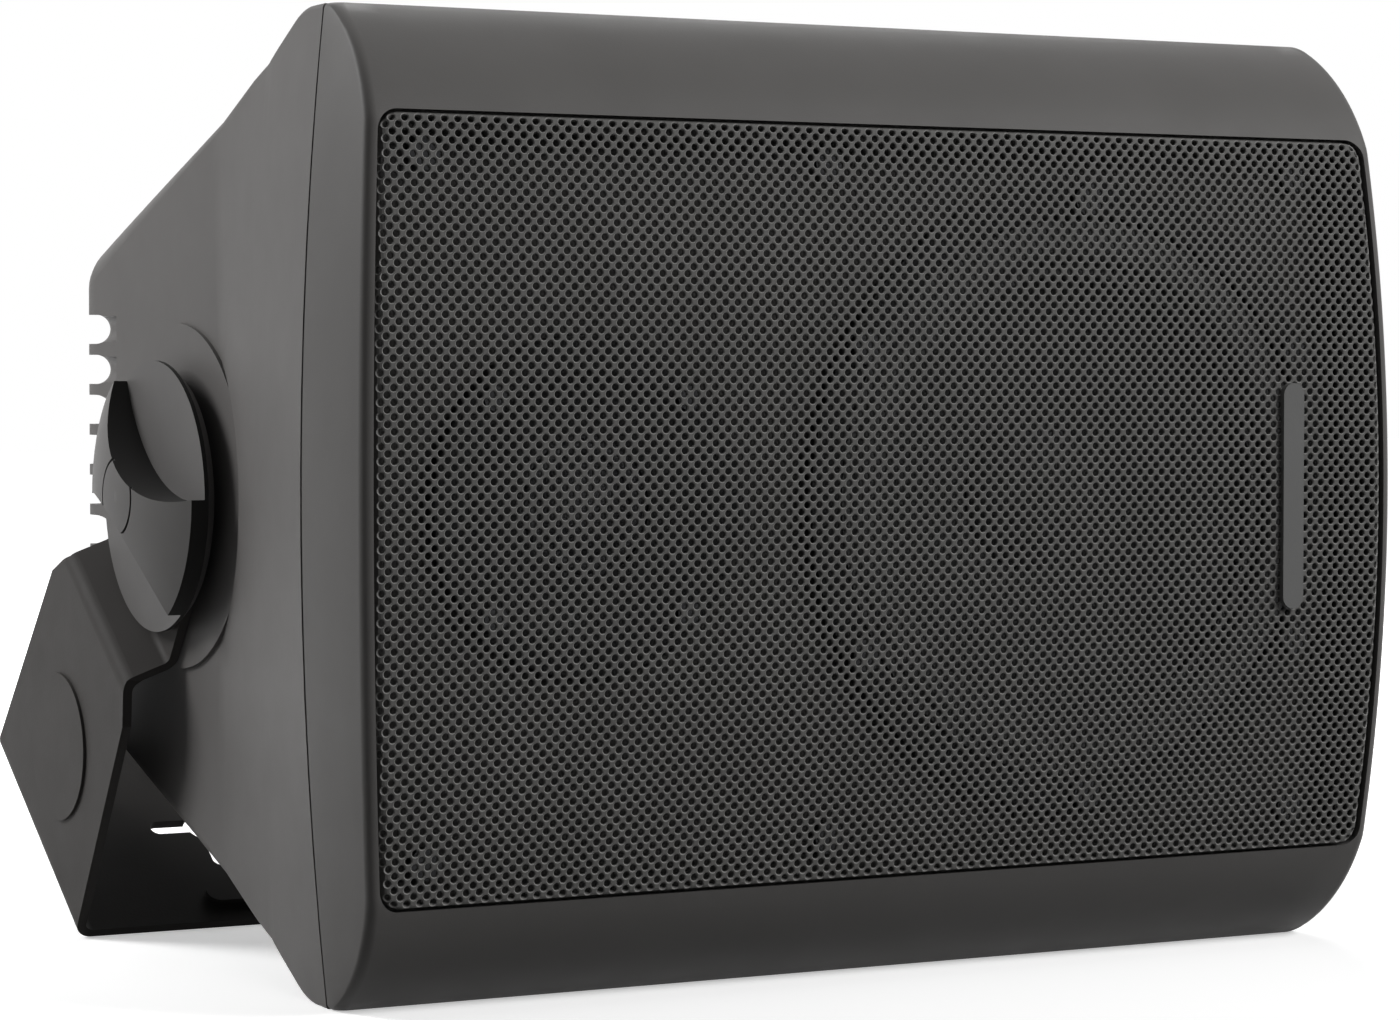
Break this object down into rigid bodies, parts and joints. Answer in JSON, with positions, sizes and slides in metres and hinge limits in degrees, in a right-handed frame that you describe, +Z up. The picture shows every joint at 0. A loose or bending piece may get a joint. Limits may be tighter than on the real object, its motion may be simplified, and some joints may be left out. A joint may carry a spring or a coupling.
{
  "type": "passive speaker",
  "caption": "Compact wall loudspeaker: bulged grille, tapered ribbed cabinet and a U bracket clamped by side knobs, with drivers, crossover and terminals inside.",
  "frame": {"origin": "middle of the cabinet's flat underside, on the floor", "axes": "+X along the length, +Y to the rear, +Z up; the grille faces -Y"},
  "size_m": [0.313, 0.244, 0.24],
  "materials": {
    "cabinet_plastic": "fine moulded texture, dark warm grey",
    "bezel_plastic": "fine moulded texture, dark warm grey",
    "seal_rubber": "matte",
    "grille_steel": "satin paint, perforated",
    "badge": "satin",
    "bracket_steel": "satin powder coat",
    "knob_plastic": "fine moulded texture",
    "stud_steel": "zinc plated",
    "insert_brass": "turned",
    "screw_steel": "black oxide",
    "basket_steel": "black powder coat",
    "surround_rubber": "matte",
    "spider_cloth": "impregnated cloth",
    "cone_pulp": "pressed fibre",
    "coil_copper": "wound wire",
    "motor_steel": "zinc plated",
    "ferrite": "pressed ferrite",
    "tweeter_plastic": "satin",
    "dome_silk": "coated cloth",
    "terminal_plastic": "satin",
    "terminal_green": "moulded",
    "board": "laminate",
    "component": "moulded"
  },
  "bodies": {
    "cabinet": {"rear_cabinet": "cabinet_plastic", "front_baffle": "bezel_plastic", "cabinet_seal": "seal_rubber", "grille": "grille_steel", "grille_badge": "badge", "threaded_insert_left": "insert_brass", "threaded_insert_right": "insert_brass", "baffle_screws": "screw_steel", "woofer_screws": "screw_steel", "tweeter_screws": "screw_steel", "terminal_screws": "screw_steel", "crossover_screws": "screw_steel", "woofer_frame": "basket_steel", "woofer_surround": "surround_rubber", "woofer_spider": "spider_cloth", "crossover_inductor": "coil_copper", "woofer_top_plate": "motor_steel", "woofer_back_plate": "motor_steel", "tweeter_motor": "motor_steel", "woofer_magnet": "ferrite", "tweeter_faceplate": "tweeter_plastic", "tweeter_dome": "dome_silk", "terminal_panel": "terminal_plastic", "terminal_block": "terminal_green", "crossover_board": "board", "crossover_capacitor": "component", "crossover_resistor": "component"},
    "bracket": {"bracket": "bracket_steel"},
    "knob_left": {"knob_left": "knob_plastic", "knob_stud_left": "stud_steel"},
    "knob_right": {"knob_right": "knob_plastic", "knob_stud_right": "stud_steel"},
    "woofer_diaphragm": {"woofer_cone": "cone_pulp", "woofer_dust_cap": "cone_pulp", "woofer_voice_coil": "coil_copper"}
  },
  "joints": [
    {"name": "bracket_tilt", "type": "hinge", "parent": "cabinet", "child": "bracket", "pos_m": [0, 0.0875, 0.12], "axis": [1, 0, 0], "range_deg": [-36, 143]},
    {"name": "knob_left_turn", "type": "hinge", "parent": "cabinet", "child": "knob_left", "pos_m": [-0.142, 0.0875, 0.12], "axis": [-1, 0, 0], "continuous": true},
    {"name": "knob_right_turn", "type": "hinge", "parent": "cabinet", "child": "knob_right", "pos_m": [0.142, 0.0875, 0.12], "axis": [1, 0, 0], "continuous": true},
    {"name": "woofer_travel", "type": "slide", "parent": "cabinet", "child": "woofer_diaphragm", "axis": [0, -1, 0], "range_m": [-0.004, 0.004], "stiffness_N_per_m": 1500, "deforming": ["woofer_surround", "woofer_spider"]}
  ]
}
